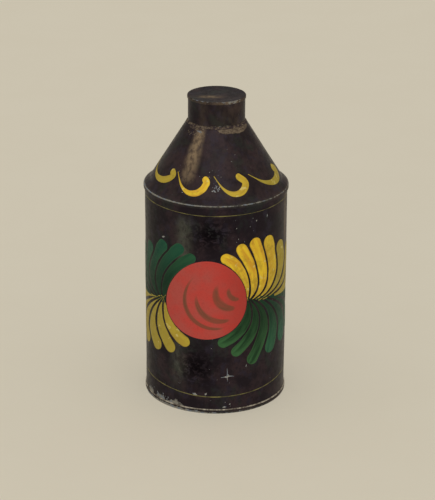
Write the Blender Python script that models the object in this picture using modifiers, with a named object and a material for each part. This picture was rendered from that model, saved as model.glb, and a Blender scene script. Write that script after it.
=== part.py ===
"""A japanned tinplate talcum powder tin.

It is a soldered round can with a sloping shoulder and a short neck. A perforated sifter pushes into
the neck, and a slip cap covers both. Every rolled sheet meets itself at the back of the tin.

Metres, +Z up. The origin is the middle of the base, and the front of the tin faces -Y.
"""

import math

import bmesh
import bpy

MM = 0.001

# The sheet, and the room left where two pieces touch or slide.
SHEET = 0.3 * MM
GAP = 0.25 * MM
SLIDE = 0.3 * MM

# The can, by its outside surfaces.
BODY_RADIUS = 30.0 * MM
BODY_TOP = 93.1 * MM
RIM_RADIUS = BODY_RADIUS + GAP + SHEET
BASE_FLANGE_TOP = 1.4 * MM
BASE_PANEL_RISE = 0.8 * MM
BASE_PANEL_RADIUS = 26.0 * MM

# The shoulder: a lip over the body's edge, a brim, the cone, and an upright flange inside the neck.
LIP_BOTTOM = 92.3 * MM
BRIM_INNER = (27.9 * MM, 95.8 * MM)
CONE_TOP = (12.6 * MM, 120.5 * MM)

# The neck, the sifter in it and the cap over it.
CAP_RADIUS = 11.9 * MM
CAP_HEIGHT = 10.35 * MM
CAP_SEAT = 121.65 * MM
NECK_RADIUS = CAP_RADIUS - SHEET - SLIDE
NECK_FOOT = 121.1 * MM
NECK_TOP = 129.6 * MM
NECK_BORE = NECK_RADIUS - SHEET
SLEEVE_RADIUS = NECK_BORE - SLIDE
SLEEVE_LENGTH = 5.6 * MM
SIFTER_DOME = 0.5 * MM
SIFTER_HOLE_RADIUS = 0.8 * MM
SIFTER_RINGS = ((0, 1), (3.1 * MM, 6), (6.2 * MM, 12))  # radius of the ring, holes on it

# Seams.
SEAM_ANGLE = math.radians(90)
BUTT_SEAM = 1.1 * MM  # the slot that solder fills between a small tube's edges
LAP_COLUMNS = 2
SEGMENTS = 64
HOLE_SIDES = 10

JAPAN_BROWN = (0.020, 0.014, 0.014, 1)
TIN_GREY = (0.42, 0.40, 0.37, 1)
SOLDER_GREY = (0.22, 0.19, 0.15, 1)


def clear_scene():
    for old in list(bpy.data.objects):
        bpy.data.objects.remove(old, do_unlink=True)


def new_collection(name):
    collection = bpy.data.collections.new(name)
    bpy.context.scene.collection.children.link(collection)
    return collection


def finish(name, colour, roughness, metallic):
    """A Principled material, made once and shared by the pieces of that finish."""
    found = bpy.data.materials.get(name)
    if found:
        return found
    made = bpy.data.materials.new(name)
    made.use_nodes = True
    shader = made.node_tree.nodes["Principled BSDF"]
    shader.inputs["Base Color"].default_value = colour
    shader.inputs["Roughness"].default_value = roughness
    shader.inputs["Metallic"].default_value = metallic
    return made


def japanned():
    return finish("japanned_tin", JAPAN_BROWN, 0.4, 0.0)


def bare_tin():
    return finish("bare_tin", TIN_GREY, 0.38, 0.9)


def solder():
    return finish("solder", SOLDER_GREY, 0.5, 0.8)


def assembly(name, height):
    """An empty on the tin's axis that carries the pieces of one body."""
    carrier = bpy.data.objects.new(name, None)
    carrier.location.z = height
    PARTS.objects.link(carrier)
    return carrier


def add_piece(name, mesh, carrier, material):
    mesh.materials.append(material)
    piece = bpy.data.objects.new(name, mesh)
    piece.parent = carrier
    PARTS.objects.link(piece)
    return piece


def shade_round(piece):
    piece.data.shade_smooth()
    piece.data.set_sharp_from_angle(angle=math.radians(35))


def turned(name, profile, carrier, material, closed=False):
    """A shape turned about the axis. The profile lists (radius, height) down its outer side, and a
    closed one makes a ring."""
    mesh = bpy.data.meshes.new(name)
    points = [(radius, 0, height) for radius, height in profile]
    edges = [(i, i + 1) for i in range(len(points) - 1)]
    if closed:
        edges.append((len(points) - 1, 0))
    mesh.from_pydata(points, edges, [])
    piece = add_piece(name, mesh, carrier, material)
    screw = piece.modifiers.new("turn", "SCREW")
    screw.steps = screw.render_steps = SEGMENTS
    screw.use_merge_vertices = True
    screw.merge_threshold = 0.01 * MM
    screw.use_smooth_shade = True
    return piece


def sheet_point(radius, height, angle):
    return (radius * math.cos(angle), radius * math.sin(angle), height)


def thicken(piece):
    """Give an open surface the thickness of the sheet, inwards from its outer side."""
    solidify = piece.modifiers.new("sheet", "SOLIDIFY")
    solidify.thickness = SHEET
    solidify.offset = -1
    solidify.use_even_offset = True


def rolled_tube(name, radius, bottom, top, carrier, material):
    """A small tube rolled from one strip, with a slot at the back between its edges."""
    mesh = bpy.data.meshes.new(name)
    mesh.from_pydata([(radius, 0, top), (radius, 0, bottom)], [(0, 1)], [])
    piece = add_piece(name, mesh, carrier, material)
    slot_angle = BUTT_SEAM / radius
    piece.rotation_euler.z = SEAM_ANGLE + slot_angle / 2
    screw = piece.modifiers.new("roll", "SCREW")
    screw.angle = 2 * math.pi - slot_angle
    screw.steps = screw.render_steps = SEGMENTS
    screw.use_smooth_shade = True
    thicken(piece)
    return piece


def lapped_sheet(name, rows, carrier, material):
    """Sheet rolled round the axis until its two edges meet at the back.

    A row is (radius, height, lapped), from the bottom up. On lapped rows the first edge is set in by
    one sheet and carries a tail that runs under the last edge. The other rows only butt together."""
    column_angle = 2 * math.pi / SEGMENTS
    surface = bmesh.new()
    main_rows, tail_rows = [], []
    for radius, height, lapped in rows:
        around = 2 * math.pi - GAP / radius
        tucked = radius - SHEET - GAP
        main_rows.append([
            surface.verts.new(sheet_point(
                tucked if lapped and column == 0 else radius,
                height,
                SEAM_ANGLE + around * column / SEGMENTS,
            ))
            for column in range(SEGMENTS + 1)
        ])
        tail_rows.append([
            surface.verts.new(sheet_point(tucked, height, SEAM_ANGLE - column_angle * column))
            for column in range(LAP_COLUMNS, 0, -1)
        ] + main_rows[-1][:1] if lapped else [])
    for grid in (main_rows, tail_rows):
        for lower, upper in zip(grid, grid[1:]):
            for i in range(min(len(lower), len(upper)) - 1):
                surface.faces.new((lower[i], lower[i + 1], upper[i + 1], upper[i]))
    mesh = bpy.data.meshes.new(name)
    surface.to_mesh(mesh)
    surface.free()
    piece = add_piece(name, mesh, carrier, material)
    thicken(piece)
    shade_round(piece)
    return piece


def seam_bead(name, bottom, top, carrier):
    """Solder run along the outside of a lapped seam, between two (radius, height) points."""
    # Across the seam, and out from the sheet, for a seam on the body's radius. A smaller radius has
    # a narrower set-in edge, so the bead narrows with it.
    section = ((-0.9, 0.25), (-0.05, 0.25), (0.05, -0.2), (2.3, 0.14), (1.5, 0.36), (0.3, 0.5), (-0.6, 0.42))
    bead = bmesh.new()
    ends = []
    for radius, height in (bottom, top):
        narrowing = radius / BODY_RADIUS
        ends.append([
            bead.verts.new(sheet_point(
                radius + outward * MM,
                height,
                SEAM_ANGLE + across * MM * narrowing / radius,
            ))
            for across, outward in section
        ])
    count = len(section)
    for i in range(count):
        bead.faces.new((ends[0][i], ends[0][(i + 1) % count], ends[1][(i + 1) % count], ends[1][i]))
    bead.faces.new(reversed(ends[0]))
    bead.faces.new(ends[1])
    bmesh.ops.recalc_face_normals(bead, faces=bead.faces)
    mesh = bpy.data.meshes.new(name)
    bead.to_mesh(mesh)
    bead.free()
    return add_piece(name, mesh, carrier, solder())


def butt_seam_strip(name, radius, bottom, top, carrier):
    """Solder that fills the slot between a small tube's edges, flush with the tube."""
    bpy.ops.mesh.primitive_cube_add(size=1)
    strip = bpy.context.object
    strip.name = strip.data.name = name
    strip.data.materials.append(solder())
    strip.dimensions = (BUTT_SEAM - 2 * GAP, SHEET, top - bottom)
    strip.location = sheet_point(radius - SHEET / 2, (bottom + top) / 2, SEAM_ANGLE)
    bpy.ops.object.transform_apply(location=False, rotation=False, scale=True)
    strip.parent = carrier
    for holder in list(strip.users_collection):
        holder.objects.unlink(strip)
    PARTS.objects.link(strip)
    return strip


def fillet_ring(name, corner, run, rise, carrier):
    """A ring of solder in a square corner. run is its width and rise its height from the corner;
    a negative one reaches inwards or down."""
    radius, height = corner
    points = [(radius, height), (radius, height + rise), (radius + run * 0.45, height + rise * 0.4),
              (radius + run, height)]
    if run * rise < 0:
        points.reverse()
    return turned(name, points, carrier, solder(), closed=True)


def build_base(can):
    """A disc with a raised panel and a flange turned up round the outside of the body."""
    flange_bore = BODY_RADIUS + GAP
    turned("base_disc", [
        (0, BASE_PANEL_RISE + SHEET),
        (BASE_PANEL_RADIUS, BASE_PANEL_RISE + SHEET),
        (BASE_PANEL_RADIUS + BASE_PANEL_RISE, SHEET),
        (flange_bore, SHEET),
        (flange_bore, BASE_FLANGE_TOP),
        (RIM_RADIUS, BASE_FLANGE_TOP),
        (RIM_RADIUS, SHEET),
        (RIM_RADIUS - SHEET, 0),
        (BASE_PANEL_RADIUS + BASE_PANEL_RISE - SHEET, 0),
        (BASE_PANEL_RADIUS - SHEET, BASE_PANEL_RISE),
        (0, BASE_PANEL_RISE),
    ], can, japanned())
    fillet_ring("base_joint_solder", (flange_bore, BASE_FLANGE_TOP + GAP), SHEET, 0.6 * MM, can)


def build_body(can):
    notch = 2.4 * MM  # the lap is cut away at both ends, where the joints are
    bottom = SHEET + GAP
    lapped_sheet("body_wall", [
        (BODY_RADIUS, bottom, False),
        (BODY_RADIUS, bottom + notch, True),
        (BODY_RADIUS, BODY_TOP - notch, True),
        (BODY_RADIUS, BODY_TOP, False),
    ], can, japanned())
    seam_bead("body_seam_solder", (BODY_RADIUS, bottom + notch), (BODY_RADIUS, BODY_TOP - notch), can)


def along(start, end, share):
    return tuple(a + (b - a) * share for a, b in zip(start, end))


def build_shoulder(can):
    """One sheet: the lip, the brim, the cone and the flange that stands inside the neck."""
    lap_bottom, lap_top = along(BRIM_INNER, CONE_TOP, 0.06), along(BRIM_INNER, CONE_TOP, 0.9)
    flange_radius = NECK_BORE - GAP
    lapped_sheet("shoulder_cone", [
        (RIM_RADIUS, LIP_BOTTOM, False),
        (RIM_RADIUS, LIP_BOTTOM + 1.0 * MM, False),
        (RIM_RADIUS - 0.25 * MM, LIP_BOTTOM + 1.5 * MM, False),
        (RIM_RADIUS - 0.8 * MM, LIP_BOTTOM + 1.95 * MM, False),
        (*BRIM_INNER, False),
        (*lap_bottom, True),
        (*lap_top, True),
        (*CONE_TOP, False),
        (flange_radius + 0.55 * MM, NECK_FOOT - 0.3 * MM, False),
        (flange_radius + 0.1 * MM, NECK_FOOT - 0.2 * MM, False),
        (flange_radius, NECK_FOOT + 0.1 * MM, False),
        (flange_radius, NECK_FOOT + 1.7 * MM, False),
    ], can, japanned())
    seam_bead("shoulder_seam_solder", lap_bottom, lap_top, can)
    wall_bore = BODY_RADIUS - SHEET - GAP
    turned("shoulder_joint_solder", [
        (wall_bore, BODY_TOP + 0.6 * MM),
        (wall_bore, BODY_TOP - 0.9 * MM),
        (wall_bore - 0.5 * MM, BODY_TOP + 0.2 * MM),
        (wall_bore - 0.7 * MM, BODY_TOP + 1.15 * MM),
    ], can, solder(), closed=True)


def build_neck(can):
    rolled_tube("neck_collar", NECK_RADIUS, NECK_FOOT, NECK_TOP, can, bare_tin())
    butt_seam_strip("neck_seam_solder", NECK_RADIUS, NECK_FOOT, NECK_TOP, can)
    foot = NECK_RADIUS + GAP
    ring_top = CAP_SEAT - GAP
    ledge, ledge_height = CONE_TOP
    turned("neck_joint_solder", [
        (foot, ring_top),
        (foot + 0.75 * MM, ring_top - 0.1 * MM),
        (ledge + 0.15 * MM, ring_top - 0.35 * MM),
        (ledge + 0.35 * MM, ledge_height + 0.25 * MM),
        (ledge, ledge_height + 0.3 * MM),
        (foot, ledge_height + 0.55 * MM),
    ], can, solder(), closed=True)


def sifter_hole_cutter(cutters):
    """One upright pin for each hole of the sifter, in rings about the axis."""
    pins = bmesh.new()
    for ring_radius, count in SIFTER_RINGS:
        for i in range(count):
            before = len(pins.verts)
            bmesh.ops.create_cone(
                pins, cap_ends=True, segments=HOLE_SIDES,
                radius1=SIFTER_HOLE_RADIUS, radius2=SIFTER_HOLE_RADIUS, depth=4 * MM,
            )
            pins.verts.ensure_lookup_table()
            place = sheet_point(ring_radius, 0, 2 * math.pi * i / count)
            bmesh.ops.translate(pins, verts=pins.verts[before:], vec=place)
    mesh = bpy.data.meshes.new("sifter_hole_cutter")
    pins.to_mesh(mesh)
    pins.free()
    cutter = bpy.data.objects.new("sifter_hole_cutter", mesh)
    cutter.hide_render = True
    cutter.display_type = "WIRE"
    cutters.objects.link(cutter)
    return cutter


def build_sifter(sifter, cutters):
    """A domed plate with holes, whose rim rests on the neck, and the sleeve that grips the neck's bore.
    Heights are from the underside of the rim."""
    flat = SLEEVE_RADIUS - 1.3 * MM
    plate = turned("sifter_plate", [
        (0, SHEET + SIFTER_DOME),
        (flat * 0.6, SHEET + SIFTER_DOME * 0.7),
        (flat, SHEET),
        (NECK_RADIUS, SHEET),
        (NECK_RADIUS, 0),
        (flat, 0),
        (flat * 0.6, SIFTER_DOME * 0.7),
        (0, SIFTER_DOME),
    ], sifter, bare_tin())
    cutter = sifter_hole_cutter(cutters)
    cutter.parent = sifter
    cut = plate.modifiers.new("holes", "BOOLEAN")
    cut.operation = "DIFFERENCE"
    cut.object = cutter
    sleeve_bottom = -GAP - SLEEVE_LENGTH
    rolled_tube("sifter_sleeve", SLEEVE_RADIUS, sleeve_bottom, -GAP, sifter, bare_tin())
    butt_seam_strip("sifter_seam_solder", SLEEVE_RADIUS, sleeve_bottom, -GAP, sifter)
    fillet_ring("sifter_joint_solder", (SLEEVE_RADIUS - SHEET - GAP, -GAP), -0.7 * MM, -0.7 * MM, sifter)


def build_cap(cap):
    """A rolled band under a dished disc, whose edge is turned down over the band.
    Heights are from the cap's mouth."""
    disc_under = CAP_HEIGHT - SHEET
    band_top = disc_under - GAP
    dish = 0.2 * MM
    flange_bore = CAP_RADIUS + GAP
    rolled_tube("cap_band", CAP_RADIUS, 0, band_top, cap, japanned())
    butt_seam_strip("cap_seam_solder", CAP_RADIUS, 0, band_top, cap)
    turned("cap_top", [
        (0, CAP_HEIGHT - dish),
        (CAP_RADIUS - 3.5 * MM, CAP_HEIGHT - dish),
        (CAP_RADIUS - 0.6 * MM, CAP_HEIGHT),
        (flange_bore, CAP_HEIGHT),
        (flange_bore + SHEET, CAP_HEIGHT - 0.2 * MM),
        (flange_bore + SHEET, CAP_HEIGHT - 1.1 * MM),
        (flange_bore, CAP_HEIGHT - 1.1 * MM),
        (flange_bore, disc_under),
        (CAP_RADIUS - 0.6 * MM, disc_under),
        (CAP_RADIUS - 3.5 * MM, disc_under - dish),
        (0, disc_under - dish),
    ], cap, japanned())
    fillet_ring("cap_joint_solder", (CAP_RADIUS - SHEET - GAP, band_top), -0.6 * MM, -0.6 * MM, cap)


clear_scene()
PARTS = new_collection("talcum_powder_tin")
CUTTERS = new_collection("cutters")
can_carrier = assembly("canister", 0)
build_base(can_carrier)
build_body(can_carrier)
build_shoulder(can_carrier)
build_neck(can_carrier)
build_sifter(assembly("sifter", NECK_TOP + GAP), CUTTERS)
build_cap(assembly("cap", CAP_SEAT))
bpy.context.view_layer.update()
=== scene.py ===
"""The looks of a japanned, hand-painted powder tin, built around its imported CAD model.

The frame is in metres. Lengths here are in millimetres until a vertex is placed. A place on the tin is
(radius, angle, height): the angle is 0 at the front, which faces -Y, grows towards +X, and is half a
turn at the back, where every seam is. A brush stroke is drawn on flat (across, up) millimetres, with
across measured round the tin from its front.
"""

from math import asin, atan2, cos, degrees, dist, exp, hypot, pi, radians, sin, sqrt
from random import Random

import bmesh
import bpy
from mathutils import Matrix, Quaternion, Vector


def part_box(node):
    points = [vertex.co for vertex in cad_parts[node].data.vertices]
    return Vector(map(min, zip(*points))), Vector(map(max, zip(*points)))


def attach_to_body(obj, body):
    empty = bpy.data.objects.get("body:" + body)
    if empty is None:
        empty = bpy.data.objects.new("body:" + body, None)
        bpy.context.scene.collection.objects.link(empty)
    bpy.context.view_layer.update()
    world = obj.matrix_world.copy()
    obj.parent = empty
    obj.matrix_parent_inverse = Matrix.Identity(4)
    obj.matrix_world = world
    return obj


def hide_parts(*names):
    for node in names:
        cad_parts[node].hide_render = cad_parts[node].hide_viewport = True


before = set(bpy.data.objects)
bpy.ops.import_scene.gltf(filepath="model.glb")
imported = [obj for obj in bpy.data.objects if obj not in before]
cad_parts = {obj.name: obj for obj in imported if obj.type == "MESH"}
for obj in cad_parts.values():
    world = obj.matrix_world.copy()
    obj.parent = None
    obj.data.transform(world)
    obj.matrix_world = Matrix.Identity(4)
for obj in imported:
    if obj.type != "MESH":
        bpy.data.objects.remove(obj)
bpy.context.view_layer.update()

MM = 0.001


# ---- sizes, read from the frame

def bottom(node):
    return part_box(node)[0][2] / MM


def top(node):
    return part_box(node)[1][2] / MM


def radius(node):
    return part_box(node)[1][0] / MM


def heights(node):
    return bottom(node), top(node)


SHEET = 0.3
BODY_RADIUS = radius("body_wall")
BODY_TOP = top("body_wall")
RIM_RADIUS = radius("shoulder_cone")
CAP_BAND_RADIUS = radius("cap_band")
CAP_MOUTH = bottom("cap_band")
CAP_RIM_HEIGHT = top("cap_top")
CAP_EDGE_RADIUS = CAP_BAND_RADIUS + 0.32  # the cap's turned-down edge hugs its band
BASE_RADIUS = BODY_RADIUS + 0.42  # and the base's flange hugs the wall
BASE_PANEL_RADIUS = 26.0
BASE_PANEL_RISE = 0.8
BRIM = (27.9, 95.8)  # the cone's foot, as radius and height
CONE_TOP = (12.6, 120.5)
CONE_SLOPE = (BRIM[0] - CONE_TOP[0]) / (CONE_TOP[1] - BRIM[1])
CAP_DISH = 0.2
SIFTER_DOME = 0.5
SIFTER_HOLE_RADIUS = 0.8
SIFTER_RINGS = ((0, 1), (3.1, 6), (6.2, 12))  # radius of the ring, holes on it
BUTT_SLOT = 1.1  # between a small tube's edges
COLUMNS = 256
SMALL_COLUMNS = 160


# ---- shapes

def smooth(low, high, value):
    share = min(max((value - low) / (high - low), 0.0), 1.0)
    return share * share * (3 - 2 * share)


def hump(value, centre, spread):
    return exp(-((value - centre) / spread) ** 2)


def between(value, low, full, fading, gone):
    """A share that rises to 1 and falls again."""
    return smooth(low, full, value) * (1 - smooth(fading, gone, value))


def turn_from(angle, centre):
    """The signed angle in degrees from a centre given in degrees."""
    return (degrees(angle) - centre + 180) % 360 - 180


def facing(angle, centre, spread):
    """A share that is 1 at a centre and fades to both sides, in degrees."""
    return hump(turn_from(angle, centre), 0, spread)


def polar(distance, angle, height):
    return Vector((distance * sin(angle), -distance * cos(angle), height)) * MM


def dent(angle, height):
    """How far old sheet stands out of true, away from its edges."""
    open_wall = between(height, 4, 16, 78, 90)
    open_cone = between(height, 98, 103, 112, 119)
    wave = (
        sin(3 * angle + 0.05 * height + 1)
        + 0.7 * sin(5 * angle - 0.11 * height + 2)
        + 0.6 * sin(2 * angle + 0.19 * height)
    )
    return 0.055 * wave * (open_wall + 0.6 * open_cone)


def lap_step(angle, low, high, height):
    """The set-in edge of a lapped sheet: one sheet deep at the seam, gone 3 mm on."""
    past_seam = (angle - pi) % (2 * pi) * BODY_RADIUS
    along = between(height, low, low + 1.2, high - 1.2, high)
    return -0.5 * (1 - smooth(0, 3, past_seam)) * along


def rounded(corners, spacing=1.5, steps=5):
    """Points along an outline of (radius, height, rounding) corners, open at both ends."""
    points = []
    for i, (x, y, rounding) in enumerate(corners):
        corner = Vector((x, y))
        if i in (0, len(corners) - 1) or rounding == 0:
            bend = [corner]
        else:
            before = (Vector(corners[i - 1][:2]) - corner).normalized() * rounding
            after = (Vector(corners[i + 1][:2]) - corner).normalized() * rounding
            bend = [
                corner + before * (1 - s / steps) ** 2 + after * (s / steps) ** 2
                for s in range(steps + 1)
            ]
        if points:
            run = bend[0] - points[-1]
            count = int(run.length // spacing)
            points += [points[-1] + run * k / (count + 1) for k in range(1, count + 1)]
        points += bend
    return points


def sheet_section(corners, spacing=1.5):
    """The closed section of a sheet. Its outside follows the corners, down and round the tin."""
    outside = rounded(corners, spacing)
    inside = []
    for i, point in enumerate(outside):
        run = outside[min(i + 1, len(outside) - 1)] - outside[max(i - 1, 0)]
        run.normalize()
        inside.append(point + Vector((run.y, -run.x)) * SHEET)
    return outside + inside[::-1]


def column_angles(columns, lapped, slot_angle):
    """Angles once round the tin, from the seam at its back."""
    around = 2 * pi - slot_angle
    count = columns + 1 if slot_angle else columns
    angles = [pi + slot_angle / 2 + around * i / columns for i in range(count)]
    if lapped:
        step = around / columns
        angles[1:1] = [pi + step * share for share in (0.25, 0.5, 0.75)]
        angles.append(pi + around - 0.001)
    return angles


def turned(name, section, columns=COLUMNS, shift=None, marks=None, lapped=False, slot=0.0):
    """A closed section turned about the axis, which a slot at the back leaves open.

    shift(angle, height) moves a point outwards. marks(angle, radius, height) gives its wear, its rub
    and painted highlight, and its scorch, which the varnish shows. Points on the axis make a pole."""
    shell = bmesh.new()
    layers = [shell.verts.layers.float.new(key) for key in ("wear", "rub_and_highlight", "scorch")]
    slot_angle = slot / max(point[0] for point in section)
    angles = column_angles(columns, lapped, slot_angle)
    rows = []
    for distance, height in section:
        pole = distance < 1e-6
        row = []
        for angle in angles[:1] if pole else angles:
            outwards = shift(angle, height) if shift and not pole else 0
            vertex = shell.verts.new(polar(distance + outwards, angle, height))
            if marks:
                for layer, value in zip(layers, marks(angle, distance, height)):
                    vertex[layer] = value
            row.append(vertex)
        rows.append(row)
    pairs = len(angles) - 1 if slot else len(angles)
    for pair in zip(rows, rows[1:] + rows[:1]):
        for i in range(pairs):
            upper, lower = ([row[k % len(row)] for k in (i, (i + 1) % len(angles))] for row in pair)
            corners = list(dict.fromkeys(upper[:1] + lower + upper[1:]))
            if len(corners) > 2:
                shell.faces.new(corners)
    if slot:
        shell.faces.new([row[0] for row in rows])
        shell.faces.new([row[-1] for row in reversed(rows)])
    return mesh_object(name, shell)


def grid_of(rows, columns, point):
    """Rows of points. point(along, across) is given shares from 0 to 1."""
    return [[point(i / rows, k / columns) for k in range(columns + 1)] for i in range(rows + 1)]


def close_plate(mesh, upper, under):
    """Faces over two grids of vertices and round their edge, which make them one closed plate."""
    rows, columns = len(upper) - 1, len(upper[0]) - 1
    for i in range(rows):
        for k in range(columns):
            for grid, order in ((upper, 1), (under, -1)):
                face = [grid[i][k], grid[i + 1][k], grid[i + 1][k + 1], grid[i][k + 1]]
                mesh.faces.new(face[::order])
    above, below = (
        grid[0][:-1] + [row[-1] for row in grid[:-1]] + grid[-1][:0:-1] + [row[0] for row in grid[:0:-1]]
        for grid in (upper, under)
    )
    for face in zip(above, above[1:] + above[:1], below[1:] + below[:1], below):
        mesh.faces.new(face)


def linked(name, data):
    """A new object in the scene."""
    piece = bpy.data.objects.new(name, data)
    bpy.context.scene.collection.objects.link(piece)
    return piece


def mesh_object(name, built, sharp=40):
    mesh = bpy.data.meshes.new(name)
    built.normal_update()
    built.to_mesh(mesh)
    built.free()
    mesh.shade_smooth()
    mesh.set_sharp_from_angle(angle=radians(sharp))
    return linked(name, mesh)


def attach(piece, body, slot, node=None, look=None):
    """Dress a piece, in its slot's own material unless it has another look, let it move with its
    body, and let it stand for a CAD node."""
    piece.data.materials.append(look or LOOKS[slot])
    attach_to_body(piece, body)
    if node:
        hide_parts(node)


# ---- paint

def on_body(across, up, lift):
    angle = across / BODY_RADIUS
    return polar(BODY_RADIUS + dent(angle, up) + lift, angle, up)


CONE_MIDDLE = 25.5  # the radius at which across is true on the cone
SLANT = hypot(1, CONE_SLOPE)


def on_cone(across, slant, lift):
    """A point of the cone, from how far it is up the slant from the brim."""
    height = BRIM[1] + slant / SLANT
    angle = across / CONE_MIDDLE
    distance = BRIM[0] - CONE_SLOPE * (height - BRIM[1]) + dent(angle, height)
    return polar(distance + lift / SLANT, angle, height + lift * CONE_SLOPE / SLANT)


class Paint:
    """A layer of paint: thin closed plates that lie on a surface of the tin."""

    SINK = 0.04  # how far a plate's underside lies in the varnish

    def __init__(self, surface):
        self.surface = surface
        self.mesh = bmesh.new()
        layers = self.mesh.verts.layers.float
        self.layers = [layers.new(key) for key in ("along", "side", "tone", "cover")]

    def plate(self, grid, tone, raised=0.0, cover=1.0):
        """One plate. A grid's points are (across, up, lift, along, side, cover)."""
        top_rows, under_rows = [], []
        for row in grid:
            top_rows.append([])
            under_rows.append([])
            for across, up, lift, along, side, covered in row:
                for height, made in ((lift + raised, top_rows), (-self.SINK, under_rows)):
                    vertex = self.mesh.verts.new(self.surface(across, up, height))
                    for layer, value in zip(self.layers, (along, side, tone, covered * cover)):
                        vertex[layer] = value
                    made[-1].append(vertex)
        close_plate(self.mesh, top_rows, under_rows)

    def attach(self, name, slot, look=None):
        bmesh.ops.recalc_face_normals(self.mesh, faces=self.mesh.faces)
        attach(mesh_object(name, self.mesh, sharp=60), "canister", slot, look=look)


def brush_profile(side, seed, thickness):
    """Paint's height across a stroke: low at its edges, with the ridges that bristles leave."""
    crown = sqrt(max(1 - side * side, 0))
    ridges = sin(7 * side + seed) + 0.5 * sin(17 * side + 2.3 * seed)
    return 0.015 + thickness * (0.35 + 0.65 * crown) + 0.0022 * ridges * crown


def stroke_grid(spine, halves, seed, thickness=0.05, columns=14):
    """A stroke along a spine, with a round head. halves gives its reach to the left and right."""
    rows = []
    ends = len(spine) - 1
    for i, (point, reach) in enumerate(zip(spine, halves)):
        run = (spine[min(i + 1, ends)] - spine[max(i - 1, 0)]).normalized()
        rows.append((point, run, reach, 0.0))
    head, run, reach, _ = rows[-1]
    for k in range(1, 9):
        turn = radians(86) * k / 8
        shrunk = tuple(half * cos(turn) for half in reach)
        rows.append((head + run * sum(reach) / 2 * sin(turn), run, shrunk, k / 8))
    grid = []
    for i, (point, run, reach, headed) in enumerate(rows):
        along = i / (len(rows) - 1)
        wobble = 1 + 0.025 * sin(17 * along + seed) + 0.015 * sin(41 * along + 2 * seed)
        left = Vector((-run.y, run.x))
        row = []
        for k in range(columns + 1):
            side = 1 - 2 * k / columns
            half = reach[0] if side > 0 else reach[1]
            place = point + left * half * wobble * side
            lift = brush_profile(side, seed, thickness * (1 - 0.5 * headed ** 2))
            row.append((place.x, place.y, lift, along, side, 1.0))
        grid.append(row)
    return grid


# The flower is a circle seen from the front, so it is placed by share of its half width and height.
FLOWER_CENTRE = (-3.7, 51.85)
FLOWER_REACH = (16.75, 17.55)
FLOWER_SAG = 11.8  # how far its sides drop as the wall turns away


def on_flower(x, y):
    flat = FLOWER_CENTRE[0] + FLOWER_REACH[0] * x
    angle = asin(flat / BODY_RADIUS)
    up = FLOWER_CENTRE[1] + FLOWER_REACH[1] * y - FLOWER_SAG * (1 - cos(angle))
    return Vector((BODY_RADIUS * angle, up))


PETAL_ROWS = 44
PETAL_WIDTH = 4.65
PETAL_ROOT = 0.07  # a petal's width at its root, as a share of its width at the head
PETAL_TAIL = 0.09  # how far the fine tail runs back past the root, as a share of the stroke
PETAL_GAP = 0.62  # the dark line that is left between two petals at the front


def petal_spine(ends):
    """A curve from its root to its head, bent towards the point between."""
    root, pull, head = map(Vector, ends)
    shares = [-PETAL_TAIL + (1 + PETAL_TAIL) * i / PETAL_ROWS for i in range(PETAL_ROWS + 1)]
    return [root * (1 - t) ** 2 + pull * 2 * t * (1 - t) + head * t * t for t in shares]


def petal_grid(spines, flower_edge, index, seed):
    """A comma stroke, as broad as its neighbours and the flower leave room for."""
    spine = spines[index]
    width = PETAL_WIDTH * (1 + min((spine[-1].x / 40) ** 2, 0.6))
    neighbours = spines[max(index - 1, 0):index] + spines[index + 1:index + 2]
    halves = []
    for i, point in enumerate(spine):
        run = spine[min(i + 1, PETAL_ROWS)] - spine[max(i - 1, 0)]
        press = sin(pi / 2 * min(i / PETAL_ROWS / 0.55, 1))
        half = width / 2 * max(press, PETAL_ROOT)
        gap = PETAL_GAP * (1 + 1.6 * min((point.x / 45) ** 2, 1))
        reach = [half, half]
        limits = [(other, 0.5, gap / 2) for other in neighbours] + [(flower_edge, 1, PETAL_GAP / 2)]
        for places, share, room in limits:
            across = min(places, key=lambda place: (place - point).length) - point
            side = 0 if run.x * across.y - run.y * across.x > 0 else 1
            reach[side] = max(min(reach[side], across.length * share - room), 0.08)
        halves.append(tuple(reach))
    return stroke_grid(spine, halves, seed)


# Each petal's root, the point it bends towards, and its head, as (across, up).
YELLOW_RIGHT = (
    ((13.8, 53.2), (12.5, 66.4), (4.4, 70.4)),
    ((15.6, 52.4), (19.5, 58.5), (11.0, 74.0)),
    ((17.8, 51.6), (25.5, 55.7), (17.3, 75.4)),
    ((20.1, 51.0), (31.5, 54.0), (24.5, 74.5)),
    ((22.4, 50.5), (38.5, 55.0), (32.9, 69.6)),
    ((25.1, 50.0), (43.5, 52.5), (43.0, 65.0)),
    ((28.4, 49.6), (45.0, 49.0), (50.0, 57.5)),
)
GREEN_RIGHT = (
    ((14.0, 50.9), (17.7, 39.6), (3.4, 32.8)),
    ((15.2, 50.3), (22.7, 39.0), (9.2, 28.4)),
    ((16.5, 50.2), (28.2, 41.0), (16.6, 23.8)),
    ((19.6, 50.0), (32.6, 41.8), (26.6, 26.9)),
    ((23.0, 49.8), (39.4, 39.8), (36.4, 29.3)),
    ((26.3, 49.3), (45.0, 42.5), (45.5, 32.0)),
    ((29.5, 48.2), (47.0, 43.5), (52.0, 38.0)),
)
GREEN_LEFT = (
    ((-23.8, 48.1), (-26.0, 60.5), (-10.4, 69.8)),
    ((-25.8, 48.7), (-31.2, 60.0), (-16.0, 73.1)),
    ((-27.5, 48.5), (-39.6, 57.0), (-24.3, 72.4)),
    ((-29.5, 48.2), (-46.0, 53.0), (-33.8, 68.5)),
    ((-31.5, 48.0), (-50.0, 52.0), (-42.5, 65.5)),
    ((-33.5, 47.6), (-50.0, 49.5), (-50.0, 59.0)),
)
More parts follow.
